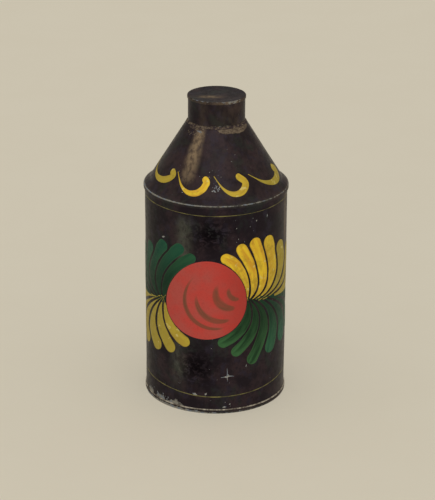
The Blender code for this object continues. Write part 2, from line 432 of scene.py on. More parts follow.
YELLOW_LEFT = (
    ((-23.8, 47.3), (-21.5, 36.0), (-13.4, 32.2)),
    ((-25.2, 47.3), (-30.0, 38.5), (-20.7, 28.3)),
    ((-26.1, 47.8), (-38.6, 35.6), (-28.9, 27.4)),
    ((-26.8, 48.2), (-47.5, 34.0), (-39.0, 27.2)),
    ((-29.2, 48.1), (-50.5, 38.0), (-47.5, 29.5)),
    ((-33.0, 47.1), (-52.0, 41.0), (-54.0, 35.5)),
)


def fan(name, petals, slot, cover=1.0):
    """A fan of comma strokes, each a hair higher or lower than the next, as their roots cross."""
    paint = Paint(on_body)
    spines = [petal_spine(petal) for petal in petals]
    turns = [radians(turn) for turn in range(0, 360, 4)]
    flower_edge = [on_flower(cos(turn), sin(turn)) for turn in turns]
    for i, petal in enumerate(petals):
        grid = petal_grid(spines, flower_edge, i, seed=1.7 * i + petals[0][0][0])
        # thin turns a petal olive towards the tin's sides, partly as paint brushed thinner and partly as
        # painted shade where the wall turns away; on the greens it turns them bluer.
        thin = smooth(7, 28, abs(petal[-1][0] - 8))  # thinner towards the tin's sides
        paint.plate(grid, thin, 0.012 * (i % 3), cover)
    paint.attach(name, slot)


def build_flower():
    """A disc of red, laid on with a full brush in turning strokes."""
    def point(along, share):
        u, v = 2 * along - 1, 1 - 2 * share
        x, y = u * sqrt(1 - v * v / 2), v * sqrt(1 - u * u / 2)
        reach = hypot(x, y)
        swirl = sin(26 * reach + 2 * atan2(y, x)) + 0.6 * sin(43 * reach + 5 * x)
        lift = 0.02 + 0.045 * sqrt(max(1 - reach ** 6, 0)) + 0.004 * swirl * (1 - reach)
        return (*on_flower(x, y), lift, x, y, 1.0)

    paint = Paint(on_body)
    paint.plate(grid_of(60, 60, point), tone=0.5)
    paint.attach("flower", "red_paint")


# Each crescent's centre, start and end radius, start and end angle in degrees, and width, in shares
# of the flower's reach.
CRESCENTS = (
    ((0.24, 0.04), (0.79, 0.76), (128, 288), 0.10),
    ((0.37, 0.06), (0.63, 0.58), (166, 294), 0.14),
    ((0.62, 0.16), (0.41, 0.34), (138, 290), 0.19),
    ((0.75, 0.23), (0.21, 0.18), (145, 294), 0.125),
)


def build_flower_shading():
    """Thin dark crescents over the red, soft at their edges."""
    paint = Paint(on_body)
    for index, (centre, reaches, angles, width) in enumerate(CRESCENTS):
        def point(along, share):
            turn = radians(angles[0] + (angles[1] - angles[0]) * along)
            half = width / 2 * (0.06 + 0.94 * sin(pi * along ** 1.15) ** 0.6)
            side = 1 - 2 * share
            out = reaches[0] + (reaches[1] - reaches[0]) * along + 1.35 * half * side
            place = on_flower(centre[0] + out * cos(turn), centre[1] + out * sin(turn))
            cover = (1 - smooth(0.5, 1, abs(side))) * between(along, 0, 0.22, 0.9, 1)
            return (*place, 0.068 + 0.018 * cover, along, side, cover)

        paint.plate(grid_of(44, 12, point), tone=0.3 + 0.2 * index)
    paint.attach("flower_shading", "dark_red_paint")


# One scallop's spine: the share of its span, and the share of its drop.
SCALLOP_SPINE = (
    (0, 0), (0.12, 0.30), (0.26, 0.64), (0.42, 0.89), (0.59, 1.0), (0.78, 0.93), (0.93, 0.66),
    (0.965, 0.35), (0.87, 0.10),
)
# Where each scallop's tail starts, its span in degrees, the height of its tail, its drop, how far
# its head curls back in degrees and hangs lower than the tail, half its width, and how thinly it is
# painted.
SCALLOPS = (
    (-176, 26, 103.4, 5.6, 0, 0, 1.4, 0.8),
    (-147, 39, 103.6, 6.0, 0, 0, 1.4, 0.9),
    (-98, 51.4, 104.2, 5.3, -3.6, 0.6, 1.5, 0.8),
    (-43, 33.8, 103.8, 6.5, -3.2, 0.6, 1.45, 0.25),
    (-2.2, 32.2, 103.9, 6.6, 2.4, 0, 1.5, 0.62),
    (34.5, 50, 103.6, 5.6, 0, 1.3, 1.9, 1.0),
    (110, 31, 103.6, 6.0, 0, 0, 1.4, 0.9),
    (145, 31, 103.4, 5.8, 0, 0, 1.4, 0.8),
)


def spline_points(points, steps=7):
    """A smooth curve through points."""
    points = [Vector(point) for point in points]
    padded = [points[0]] + points + [points[-1]]
    curve = []
    for before, start, end, after in zip(padded, padded[1:], padded[2:], padded[3:]):
        for k in range(steps):
            t = k / steps
            curve.append(0.5 * (
                2 * start + (end - before) * t + (2 * before - 5 * start + 4 * end - after) * t * t
                + (3 * start - before - 3 * end + after) * t ** 3
            ))
    return curve + [points[-1]]


def scallop_grid(tail, span, height, drop, curl, hang, breadth, seed):
    """A fine tail that swings down into a broad, round, curled head."""
    spine, halves = [], []
    points = spline_points(SCALLOP_SPINE)
    for i, (share, sunk) in enumerate(points):
        t = i / (len(points) - 1)
        angle = tail + span * share - curl * smooth(0.8, 1, t)
        level = height - drop * sunk - hang * smooth(0.7, 1, t)
        spine.append(Vector((CONE_MIDDLE * radians(angle), (level - BRIM[1]) * SLANT)))
        half = 0.17 + (breadth - 0.17) * smooth(0.05, 0.72, t)
        halves.append((half, half))
    return stroke_grid(spine, halves, seed)


def build_scallops():
    paint = Paint(on_cone)
    for i, (*shape, thin) in enumerate(SCALLOPS):
        paint.plate(scallop_grid(*shape, seed=2.1 * i), tone=thin)
    paint.attach("shoulder_scallops", "yellow_paint")


def build_stripe(name, height, rise, breadth, look):
    """A thin line round the body, from the seam back to it, which rises at the tin's sides."""
    def point(along, share):
        angle = pi * (2 * along - 1)
        middle = height + rise * sin(angle) ** 2 + 0.05 * sin(7 * angle)
        half = breadth / 2 + 0.04 * sin(5 * angle + height) + 0.03 * sin(23 * angle)
        side = 1 - 2 * share
        lift = 0.01 + 0.02 * (1 - side * side)
        return 0.9995 * BODY_RADIUS * angle, middle + half * side, lift, along, side, 1.0

    paint = Paint(on_body)
    paint.plate(grid_of(300, 4, point), tone=0.3)
    paint.attach(name, "yellow_paint", look)


# ---- materials

def rgb(red, green, blue):
    """A display colour out of 255, as the linear values that a shader takes."""
    linear = [
        value / 12.92 if value <= 0.04045 else ((value + 0.055) / 1.055) ** 2.4
        for value in (red / 255, green / 255, blue / 255)
    ]
    return (*linear, 1.0)


class Finish:
    """One material's nodes, written as expressions. A value is a number, a colour or a socket."""

    def __init__(self, name):
        self.material = bpy.data.materials.new(name)
        self.material.use_nodes = True
        self.tree = self.material.node_tree
        self.shader = self.tree.nodes["Principled BSDF"]
        coordinates = self.tree.nodes.new("ShaderNodeTexCoord")
        self.place = self.node("VectorMath", coordinates.outputs["Object"], operation="SCALE")
        self.place.node.inputs["Scale"].default_value = 1 / MM

    def node(self, kind, *values, **settings):
        """A shader node with its first inputs fed, and its first output returned."""
        made = self.tree.nodes.new("ShaderNode" + kind)
        for key, value in settings.items():
            setattr(made, key, value)
        for socket, value in zip(made.inputs, values):
            self.feed(socket, value)
        return made.outputs[0]

    def feed(self, socket, value):
        if isinstance(value, bpy.types.NodeSocket):
            self.tree.links.new(value, socket)
        elif value is not None:
            socket.default_value = value

    def math(self, operation, first, second=None):
        return self.node("Math", first, second, operation=operation)

    def times(self, first, second):
        return self.math("MULTIPLY", first, second)

    def ramp(self, value, low, high, start=0.0, end=1.0):
        return self.node("MapRange", value, low, high, start, end, interpolation_type="SMOOTHSTEP")

    def mix(self, share, first, second):
        made = self.node("Mix", data_type="RGBA").node
        for key, value in (("Factor_Float", share), ("A_Color", first), ("B_Color", second)):
            self.feed(next(s for s in made.inputs if s.identifier == key), value)
        return next(s for s in made.outputs if s.identifier == "Result_Color")

    def over(self, base, paint, value, *span):
        """A colour laid over the base where a value rises through a span."""
        return self.mix(self.ramp(value, *span), base, paint)

    def axis(self, name):
        """How far along one of the tin's axes a point is, in millimetres."""
        return self.node("SeparateXYZ", self.place).node.outputs[name]

    def mark(self, name):
        return self.node("Attribute", attribute_name=name).node.outputs["Fac"]

    def stretched(self, x, y, z):
        """Coordinates scaled along each axis, for grain that runs one way."""
        return self.node("VectorMath", self.place, (x, y, z), operation="MULTIPLY")

    def noise(self, scale, detail=3.0, roughness=0.5, vector=None, distortion=0.0):
        made = self.node("TexNoise", vector if vector else self.place).node
        values = (scale, detail, roughness, distortion)
        for key, value in zip(("Scale", "Detail", "Roughness", "Distortion"), values):
            made.inputs[key].default_value = value
        return made.outputs["Fac"]

    def finish(self, base, roughness, height=None, metallic=None, depth=0.02, specular=0.5):
        """Feed the shader. Values that are the same all over are set on its own sockets."""
        inputs = self.shader.inputs
        self.feed(inputs["Base Color"], base)
        self.feed(inputs["Roughness"], roughness)
        self.feed(inputs["Metallic"], metallic)
        inputs["Specular IOR Level"].default_value = specular
        if height:
            bump = self.tree.nodes.new("ShaderNodeBump")
            bump.inputs["Distance"].default_value = depth * MM
            self.feed(bump.inputs["Height"], height)
            self.feed(inputs["Normal"], bump.outputs["Normal"])
        return self.material


JAPAN_BLACK = rgb(34, 28, 33)
JAPAN_BROWN = rgb(52, 41, 45)
JAPAN_GREEN = rgb(41, 44, 43)
JAPAN_PURPLE = rgb(45, 40, 51)
SCORCHED = rgb(6, 3, 6)
# Lighter varnish, for rubbed places and for painted highlights.
RUB_AND_HIGHLIGHT_BROWN = rgb(132, 114, 92)
RUB_AND_HIGHLIGHT_GREY = rgb(106, 110, 96)
WORN_TIN = rgb(138, 136, 130)
WORN_BLUE = rgb(124, 132, 144)
VARNISH_TINT = (0.80, 0.74, 0.92, 1)


def japanned():
    """Brown-black varnish, mottled, lighter where it is rubbed and where highlights are painted into
    it, and worn to tin on its edges.
    """
    f = Finish("japanned_tin")
    warm = f.ramp(f.noise(0.09, 4, 0.6), 0.42, 0.6)
    cool = f.ramp(f.noise(0.13, 4, 0.6, f.stretched(1, 1, 0.8), 0.5), 0.5, 0.66)
    base = f.mix(warm, JAPAN_BLACK, JAPAN_BROWN)
    base = f.mix(f.times(cool, 0.8), base, JAPAN_GREEN)
    violet = f.ramp(f.noise(0.2, 3, 0.6, f.stretched(1.3, 1.3, 1)), 0.5, 0.66)
    base = f.mix(f.times(violet, 0.8), base, JAPAN_PURPLE)
    base = f.over(base, JAPAN_BLACK, f.noise(0.55, 5, 0.65), 0.45, 0.7, 0.0, 0.75)

    # Lighter grey and brown over the varnish: real rubbing on rims and edges, and painted highlights and a
    # painted reflection on the wall, cone and cap. It is brown on the cone and at the right, grey
    # elsewhere.
    rub_and_highlight = f.mark("rub_and_highlight")
    smear = f.noise(0.55, 5, 0.65, f.stretched(1, 1, 0.5))
    rubbed = f.times(rub_and_highlight, f.ramp(smear, 0.33, 0.6, 0.3, 1.0))
    brown = f.math("MAXIMUM", f.ramp(f.axis("Z"), BODY_TOP, BRIM[1]), f.ramp(f.axis("X"), 22, 26))
    base = f.mix(rubbed, base, f.mix(brown, RUB_AND_HIGHLIGHT_GREY, RUB_AND_HIGHLIGHT_BROWN))

    blots = f.ramp(f.noise(0.4, 5, 0.65, f.stretched(1, 1, 1.3), 0.8), 0.4, 0.54)
    scorched = f.times(f.mark("scorch"), blots)
    base = f.mix(scorched, base, SCORCHED)

    wear = f.mark("wear")
    ragged = f.math("ADD", wear, f.times(f.math("SUBTRACT", f.noise(0.6, 6, 0.7), 0.5), 1.5))
    bare = f.ramp(ragged, 0.47, 0.62)
    flecks = f.ramp(f.noise(1.25, 2, 0.4), 0.76, 0.8)
    bare = f.math("MAXIMUM", bare, f.times(flecks, 0.5))
    tin = f.mix(f.ramp(f.noise(0.5, 3), 0.45, 0.62), WORN_TIN, WORN_BLUE)
    base = f.mix(bare, base, tin)

    rough = f.ramp(f.noise(0.5, 4, 0.6), 0.3, 0.7, 0.28, 0.42)
    rough = f.math("ADD", rough, f.times(f.math("MAXIMUM", bare, rubbed), 0.12))
    height = f.math("SUBTRACT", f.noise(0.9, 5, 0.6), f.times(bare, 1.2))
    metallic = f.times(bare, 0.25)
    f.shader.inputs["Specular Tint"].default_value = VARNISH_TINT
    return f.finish(base, rough, height, metallic, specular=0.06)


def tinplate():
    """Dull tinplate with fine marks round the tube and grey-brown tarnish."""
    f = Finish("bare_tin")
    clean = rgb(168, 164, 154)
    dull = rgb(122, 112, 98)
    tarnish = f.ramp(f.noise(0.35, 5, 0.6), 0.4, 0.68)
    drawn = f.noise(1.1, 3, 0.6, f.stretched(0.4, 0.4, 9))
    base = f.mix(tarnish, clean, dull)
    base = f.over(base, rgb(92, 88, 82), drawn, 0.4, 0.7, 0.0, 0.35)
    rough = f.ramp(f.math("ADD", drawn, tarnish), 0.4, 1.5, 0.3, 0.52)
    return f.finish(base, rough, drawn, f.ramp(tarnish, 0, 1, 0.9, 0.65), depth=0.012)


def solder():
    """Lumpy grey solder, with varnish left in its hollows."""
    f = Finish("solder")
    grey = f.mix(f.noise(1.2, 4), rgb(118, 106, 88), rgb(84, 74, 60))
    stained = f.ramp(f.noise(0.45, 5, 0.65), 0.32, 0.48)
    base = f.mix(f.times(stained, 0.9), grey, rgb(58, 38, 34))
    rough = f.ramp(f.noise(1.5, 3), 0.3, 0.7, 0.42, 0.62)
    metallic = f.ramp(stained, 0, 1, 0.6, 0.1)
    return f.finish(base, rough, f.noise(1.3, 5, 0.6), metallic, depth=0.08)


def streaks(f, fineness=1.1, length=2.2):
    """Noise that runs along a stroke, different for each stroke."""
    scales = (("along", length), ("side", fineness), ("tone", 31.0))
    values = [f.times(f.mark(key), scale) for key, scale in scales]
    return f.noise(1.0, 4, 0.6, f.node("CombineXYZ", *values))


def yellow():
    """Mustard oil paint. Where it is brushed thin, the varnish below dulls it to olive; towards the
    tin's sides that olive is also painted shade.
    """
    f = Finish("yellow_paint")
    streak = streaks(f)
    golden = rgb(238, 202, 52)
    ochre = rgb(214, 162, 48)
    olive = rgb(164, 149, 61)
    pale = rgb(222, 208, 134)
    base = f.mix(f.ramp(streak, 0.4, 0.66), golden, ochre)
    # Olive towards the tin's sides: partly thinner paint, partly painted shade.
    base = f.over(base, olive, f.mark("tone"), 0.1, 1, 0, 0.9)
    base = f.over(base, olive, f.mark("along"), 0.0, 0.55, 0.55, 0)
    base = f.over(base, rgb(150, 126, 44), f.noise(0.3, 4, 0.6), 0.48, 0.66, 0, 0.4)
    # pale lays painted highlights: pale dabs scattered over the yellow.
    base = f.over(base, pale, f.noise(0.36, 3, 0.5, distortion=0.4), 0.63, 0.7, 0, 0.6)
    edge = f.math("ABSOLUTE", f.mark("side"))
    base = f.over(base, rgb(104, 92, 40), edge, 0.84, 1, 0, 0.5)
    return painted(f, base, streak)


def worn_yellow():
    """The striping: the same yellow, thinned and mostly worn into the varnish."""
    f = Finish("striping_paint")
    left = f.ramp(f.noise(0.22, 5, 0.65), 0.36, 0.62)
    base = f.mix(left, rgb(76, 72, 48), rgb(126, 120, 72))
    return painted(f, base, f.noise(0.8, 4, 0.6))


def green():
    """Deep green oil paint, thicker and lighter at the heads, with a thin lighter edge."""
    f = Finish("green_paint")
    streak = streaks(f)
    deep = rgb(6, 36, 20)
    middle = rgb(58, 102, 62)
    blue = rgb(14, 92, 78)
    base = f.mix(f.ramp(streak, 0.4, 0.7, 0, 0.75), middle, deep)
    base = f.over(base, blue, f.mark("tone"), 0.1, 0.9, 0, 0.6)
    base = f.over(base, deep, f.mark("along"), 0.3, 0.95, 0.75, 0)
    base = f.over(base, deep, f.mark("cover"), 0.2, 1, 0.6, 0)
    edge = f.math("ABSOLUTE", f.mark("side"))
    base = f.over(base, rgb(70, 104, 62), edge, 0.8, 0.97, 0, 0.25)
    return painted(f, base, streak)


def painted(f, base, streak):
    """What every paint shares: worn pinholes, brush relief and a satin skin."""
    pinholes = f.ramp(f.noise(1.4, 3, 0.5), 0.73, 0.79)
    base = f.mix(f.times(pinholes, 0.6), base, JAPAN_BLACK)
    rough = f.ramp(f.noise(0.6, 4, 0.6), 0.3, 0.7, 0.42, 0.58)
    height = f.math("SUBTRACT", streak, f.times(pinholes, 0.8))
    return f.finish(base, rough, height, depth=0.03, specular=0.14)


def red_base(f):
    """The flower's red: pinker at its upper left, deeper at its right."""
    base = f.mix(f.ramp(f.noise(0.14, 3, 0.5), 0.3, 0.7), rgb(193, 68, 61), rgb(180, 80, 73))
    base = f.over(base, rgb(172, 56, 48), f.axis("X"), -2, 13, 0, 0.75)
    return f.mix(f.ramp(f.noise(1.3, 4, 0.6), 0.45, 0.75, 0, 0.3), base, rgb(150, 58, 56))


def red():
    f = Finish("red_paint")
    return painted(f, red_base(f), f.noise(0.8, 4, 0.6))


def dark_red():
    """A thin brown glaze over the red, which shows through at its soft edges."""
    f = Finish("dark_red_paint")
    streak = streaks(f, 3.0, 4.0)
    share = f.times(f.mark("cover"), f.ramp(streak, 0.25, 0.65, 1, 0.7))
    base = f.mix(share, red_base(f), rgb(114, 74, 55))
    return painted(f, base, f.noise(0.8, 4, 0.6))


def chipped():
    """Tin laid bare in a chip: grey, with a blue tarnish."""
    f = Finish("chipped_tin")
    base = f.mix(f.ramp(f.noise(0.8, 3), 0.42, 0.6), rgb(108, 116, 128), rgb(150, 148, 142))
    return f.finish(base, f.ramp(f.noise(2.0, 3), 0.3, 0.7, 0.45, 0.6), f.noise(3.0, 3), depth=0.02)


def rubbed_solder():
    """Solder that wear keeps bright in places, along the foot and on the bare tubes."""
    f = Finish("rubbed_solder")
    bright = f.ramp(f.noise(0.3, 6, 0.7), 0.4, 0.6)
    base = f.mix(bright, rgb(78, 68, 60), rgb(168, 160, 146))
    return f.finish(base, f.ramp(bright, 0, 1, 0.6, 0.45), f.noise(1.3, 5, 0.6), depth=0.06, specular=0.3)


def wiped_solder():
    """Rough grey-brown solder, wiped round the tin, with specks of bright metal."""
    f = Finish("wiped_solder")
    wiped = f.noise(0.8, 6, 0.7, f.stretched(1, 1, 2.4), 0.6)
    base = f.mix(f.ramp(wiped, 0.32, 0.66), rgb(120, 106, 90), rgb(68, 56, 48))
    base = f.over(base, rgb(158, 146, 124), f.noise(2.2, 3, 0.6), 0.6, 0.68, 0, 0.7)
    thin = f.ramp(f.mark("tone"), 0, 0.4, 1, 0)
    gaps = f.times(thin, f.ramp(f.noise(0.7, 4, 0.6), 0.42, 0.56))
    base = f.mix(gaps, base, JAPAN_BROWN)
    return f.finish(base, f.ramp(wiped, 0.3, 0.7, 0.55, 0.7), wiped, depth=0.03, specular=0.15)


# ---- the can

def body_marks(angle, distance, height):
    """Wear at the foot, painted highlight columns at the left, a painted reflection down the right
    edge, scorched patches about the flower, and darker varnish down the left side.
    """
    patches = max(facing(angle, -66, 5), facing(angle, -51, 8))
    patches = max(patches, facing(angle, -35, 7)) * hump(height, 2, 2.5)
    foot = 0.4 * facing(angle, -47, 22) * (1 - smooth(2.5, 8, height))
    front_foot = hump(height, 1, 1.6) * (0.2 + 0.2 * sin(9 * angle))
    # upper and lower are painted highlights: lighter columns where the light's sheen falls on the wall.
    upper = facing(angle, -26, 6) * between(height, 52, 66, 84, 90)
    lower = facing(angle, -31, 6) * hump(height, 22, 9)
    above_flower = facing(angle, -4, 17) * hump(height, 81, 7)
    below_flower = facing(angle, -15, 15) * hump(height, 21, 8)
    # A painted reflection: a lighter line down the wall's right edge.
    right_edge_reflection = facing(angle, 75, 3) * smooth(48, 60, height)
    # left_side darkens the varnish down the left side of the wall.
    left_side = 0.7 * facing(angle, -78, 26) * smooth(4, 14, height)
    # All three are painted light.
    rubbed = 0.42 * upper + 0.42 * lower + 0.45 * right_edge_reflection
    return max(foot, 0.84 * patches) + front_foot, rubbed, max(above_flower, below_flower, left_side)


def build_body():
    low, high = heights("body_wall")

    def shift(angle, height):
        return dent(angle, height) + lap_step(angle, low + 2.4, high - 2.4, height)

    section = sheet_section(((BODY_RADIUS, high, 0), (BODY_RADIUS, low, 0)))
    wall = turned("body_shell", section, shift=shift, marks=body_marks, lapped=True)
    attach(wall, "canister", "japanned_tin", "body_wall")
    ends = [(BODY_RADIUS, height) for height in heights("body_seam_solder")]
    attach(solder_bead("body_seam_bead", *ends), "canister", "solder", "body_seam_solder")


def solder_bead(name, start, end):
    """Solder run along a lapped seam, between two (radius, height) points."""
    bead = bmesh.new()
    rng = Random(7)
    phases = [rng.uniform(0, 6.28) for _ in range(4)]
    length = dist(start, end)
    count = int(length / 0.6)
    sides = 14
    rows = []
    for i in range(count + 1):
        along = i / count
        distance, height = (a + (b - a) * along for a, b in zip(start, end))
        walk = length * along
        swell = 1 + 0.07 * sin(0.5 * walk + phases[0]) + 0.04 * sin(1.9 * walk + phases[1])
        sway = 0.12 * sin(0.35 * walk + phases[2]) + 0.04 * sin(1.7 * walk + phases[3])
        swell *= distance / BODY_RADIUS * 0.5 + 0.5
        row = []
        for k in range(sides):
            turn = 2 * pi * k / sides
            across = 0.7 + sway + 1.35 * swell * cos(turn)
            rise = max(sin(turn), -0.9)
            lift = 0.03 + (0.27 * swell if rise > 0 else 0.25) * rise
            lift += dent(pi, height) * (1 if distance > 29 else 0.5)
            row.append(bead.verts.new(polar(distance + lift, pi + across / distance, height)))
        rows.append(row)
    for lower, upper in zip(rows, rows[1:]):
        for k in range(sides):
            n = (k + 1) % sides
            bead.faces.new((lower[k], lower[n], upper[n], upper[k]))
    bead.faces.new(rows[0][::-1])
    bead.faces.new(rows[-1])
    bmesh.ops.recalc_face_normals(bead, faces=bead.faces)
    return mesh_object(name, bead)


def solder_ring(name, corners, body, node, look=None, lumps=0.05, columns=COLUMNS):
    """A ring of solder, uneven as it was run round by hand."""
    corners = [(x, y, 0.06) for x, y in corners]
    section = rounded(corners + corners[:1], spacing=0.4, steps=3)[:-1]

    def shift(angle, height):
        return lumps * (0.6 * sin(11 * angle) + 0.5 * sin(29 * angle + 8 * height) - 0.8)

    ring = turned(name, section, columns, shift)
    attach(ring, body, "solder", node, look)


def base_marks(angle, distance, height):
    left = facing(angle, -45, 50)
    side = distance > BASE_RADIUS - 1
    line = hump(height, 0.3, 0.3) * side
    return 0.45 * line + 0.42 * left * side, 0.3 * line, 0.0


def build_base(foot_metal):
    """A pan with a raised panel and an upright flange round the wall."""
    high = top("base_disc")
    slope = BASE_PANEL_RADIUS + BASE_PANEL_RISE
    section = sheet_section((
        (BASE_RADIUS, high, 0),
        (BASE_RADIUS, 0, 0.4),
        (slope, 0, 0.4),
        (BASE_PANEL_RADIUS, BASE_PANEL_RISE, 0.4),
        (0, BASE_PANEL_RISE, 0),
    ))
    pan = turned("base_pan", section, marks=base_marks)
    attach(pan, "canister", "japanned_tin", "base_disc")
    low = bottom("base_joint_solder")
    inner = BODY_RADIUS + 0.08
    solder_ring("base_joint_bead", (
        (inner, low + 0.35), (BASE_RADIUS - 0.1, low + 0.1), (BASE_RADIUS, low - 0.1), (inner, low - 0.1),
    ), "canister", "base_joint_solder", foot_metal, lumps=0.02)


def shoulder_marks(angle, distance, height):
    """Wear along the rim's crest, and the streak down the cone: partly rubbed varnish with bare
    flecks, and partly a painted highlight.
    """
    crest = hump(height, 93.9 - 0.4 * max(cos(angle), 0), 0.34) * (distance > BODY_RADIUS - 0.9)
    rim = crest * (0.66 + 0.3 * facing(angle, -60, 45) - 0.12 * facing(angle, 75, 30))
    neck = 0.3 * hump(height, 119.2, 1.4) * facing(angle, -36, 24)
    # The streak is partly real wear and partly a painted highlight where the light's sheen falls on the
    # cone.
    reach = 9.5 - 1.8 * smooth(112, 102, height)
    streak = 1 - smooth(0.2, 1.45, abs(turn_from(angle, -30)) / reach)
    streak *= smooth(98.5, 104, height) * (0.68 + 0.32 * smooth(101, 113, height))
    return rim + neck + 0.21 * streak, min(1, 0.04 + 0.96 * streak + 0.3 * crest), 0.0


def build_shoulder():
    """One sheet: the lip, the rounded rim, the brim, the cone and the flange inside the neck."""
    lip, high = heights("shoulder_cone")
    flange = radius("neck_collar") - SHEET - 0.25
    lap = heights("shoulder_seam_solder")

    def shift(angle, height):
        return dent(angle, height) + lap_step(angle, *lap, height)

    section = sheet_section((
        (flange, high, 0),
        (flange, CONE_TOP[1] + 0.4, 0.4),
        (*CONE_TOP, 0.4),
        (*BRIM, 0.5),
        (RIM_RADIUS, 93.75, 0.55),
        (RIM_RADIUS, lip, 0),
    ), spacing=0.8)
    shell = turned("shoulder_shell", section, shift=shift, marks=shoulder_marks, lapped=True)
    attach(shell, "canister", "japanned_tin", "shoulder_cone")
    ends = [(BRIM[0] - CONE_SLOPE * (height - BRIM[1]), height) for height in lap]
    attach(solder_bead("shoulder_seam_bead", *ends), "canister", "solder", "shoulder_seam_solder")
    low, high = heights("shoulder_joint_solder")
    outer = radius("shoulder_joint_solder") - 0.03
    solder_ring("shoulder_joint_bead", (
        (outer, high - 0.6), (outer, low), (outer - 0.5, low + 1.1), (outer - 0.75, high),
    ), "canister", "shoulder_joint_solder")


def tube(name, node, body, slot, marks=None):
    """A small tube rolled from one strip, with its edges apart at the back."""
    outer = radius(node)
    section = sheet_section(((outer, top(node), 0), (outer, bottom(node), 0)), spacing=0.7)
    piece = turned(name, section, SMALL_COLUMNS, marks=marks, slot=BUTT_SLOT)
    attach(piece, body, slot, node)


def seam_strip(name, node, tube_node, body, look=None):
    """Solder that floods the slot between a small tube's edges and holds on to both."""
    low, high = heights(node)
    outer = radius(tube_node)
    reach = BUTT_SLOT / 2 + 0.15
    strip = bmesh.new()

    def face(distance, bulge, wave):
        def point(along, share):
            side, height = 2 * share - 1, low + (high - low) * along
            swell = bulge + wave * (1 + sin(2.1 * height + 8 * share))
            angle = pi + side * reach / outer
            return strip.verts.new(polar(distance + swell * (1 - side * side), angle, height))

        return grid_of(int((high - low) / 0.4), 8, point)

    close_plate(strip, face(outer - 0.05, 0.07, 0.012), face(outer - SHEET + 0.05, -0.07, 0))
    bmesh.ops.recalc_face_normals(strip, faces=strip.faces)
    attach(mesh_object(name, strip), body, "solder", node, look)


def build_neck(bright, wiped):
    tube("neck_tube", "neck_collar", "canister", "bare_tin")
    seam_strip("neck_seam_strip", "neck_seam_solder", "neck_collar", "canister", bright)
    foot = radius("neck_collar") + 0.1
    low, high = heights("neck_joint_solder")
    crest = CONE_TOP[0] - CONE_SLOPE * (high - CONE_TOP[1])
    solder_ring("neck_joint_bead", (
        (foot, high), (crest, high - 0.05), (CONE_TOP[0] + 0.04, CONE_TOP[1] + 0.1),
        (CONE_TOP[0] - 0.1, low), (foot, low + 0.25),
    ), "canister", "neck_joint_solder", wiped, lumps=0.03, columns=SMALL_COLUMNS)


# ---- the sifter

def build_sifter(bright):
    """A domed plate punched with holes, on a sleeve that grips the neck."""
    low = bottom("sifter_plate")
    level = low + SHEET
    outer = radius("sifter_plate")
    flat = radius("sifter_sleeve") - 1.3
    section = sheet_section((
        (0, level + SIFTER_DOME, 0),
        (flat * 0.6, level + SIFTER_DOME * 0.7, 2.0),
        (flat, level, 0.6),
        (outer, level, 0.1),
        (outer, level - 0.02, 0),
    ), spacing=0.7)
    plate = turned("sifter_dome", section, SMALL_COLUMNS)
    punch(plate, low)
    attach(plate, "sifter", "bare_tin", "sifter_plate")
    tube("sifter_tube", "sifter_sleeve", "sifter", "bare_tin")
    seam_strip("sifter_seam_strip", "sifter_seam_solder", "sifter_sleeve", "sifter", bright)
    fillet("sifter_joint_bead", "sifter_joint_solder", "sifter", bright)


def punch(plate, low):
    """Cut the sifter's holes."""
    pins = bmesh.new()
    for ring, count in SIFTER_RINGS:
        for i in range(count):
            made = bmesh.ops.create_cone(
                pins, cap_ends=True, segments=24, radius1=SIFTER_HOLE_RADIUS * MM,
                radius2=SIFTER_HOLE_RADIUS * MM, depth=4 * MM,
            )
            place = polar(ring, 2 * pi * i / count + pi / 2, low)
            bmesh.ops.translate(pins, verts=made["verts"], vec=place)
    cutter = mesh_object("sifter_pins", pins)
    cut = plate.modifiers.new("holes", "BOOLEAN")
    cut.operation = "DIFFERENCE"
    cut.object = cutter
    graph = bpy.context.evaluated_depsgraph_get()
    plate.data = bpy.data.meshes.new_from_object(plate.evaluated_get(graph))
    plate.modifiers.clear()
    bpy.data.objects.remove(cutter)
    plate.data.set_sharp_from_angle(angle=radians(40))


def fillet(name, node, body, look=None):
    """A fillet of solder in an inside corner under a disc."""
    low, high = heights(node)
    outer = radius(node) - 0.02
    solder_ring(name, (
        (outer, high), (outer, low), (outer - 0.3, low + 0.42), (outer - 0.7, high),
    ), body, node, look, lumps=0.02, columns=SMALL_COLUMNS)


# ---- the cap

def band_marks(angle, distance, height):
    edge = hump(height, CAP_MOUTH, 0.5) * (0.3 + 0.25 * sin(3 * angle + 1))
    # shine is painted light: a painted highlight down the band's left, and its right side painted lighter.
    shine = 0.12 * facing(angle, -28, 10) + 0.13 * facing(angle, 40, 40)
    return edge, shine, 0.0


def cap_marks(angle, distance, height):
    """The cap's edge is rubbed: a fine line at the left, a broad patch from the front to the right.
    A painted highlight lies as a smear on the top, left of its middle and towards the front.
    """
    crest = hump(distance, CAP_EDGE_RADIUS - 0.1, 0.45) * hump(height, CAP_RIM_HEIGHT, 0.35)
    edge = hump(distance, CAP_EDGE_RADIUS, 0.4)
    right = facing(angle, 34, 32)
    left = facing(angle, -35, 40)
    # A painted highlight: a lighter smear on the cap's top.
    painted_highlight_smear = 0.95 * hump(distance * sin(angle), -3, 4.2) * hump(distance * cos(angle), 3.4, 1.6)
    wear = 0.54 * edge * right + 0.45 * crest * left + 0.1 * crest
    return wear, edge * (0.12 + 0.42 * right + 0.15 * left) + painted_highlight_smear, 0.0


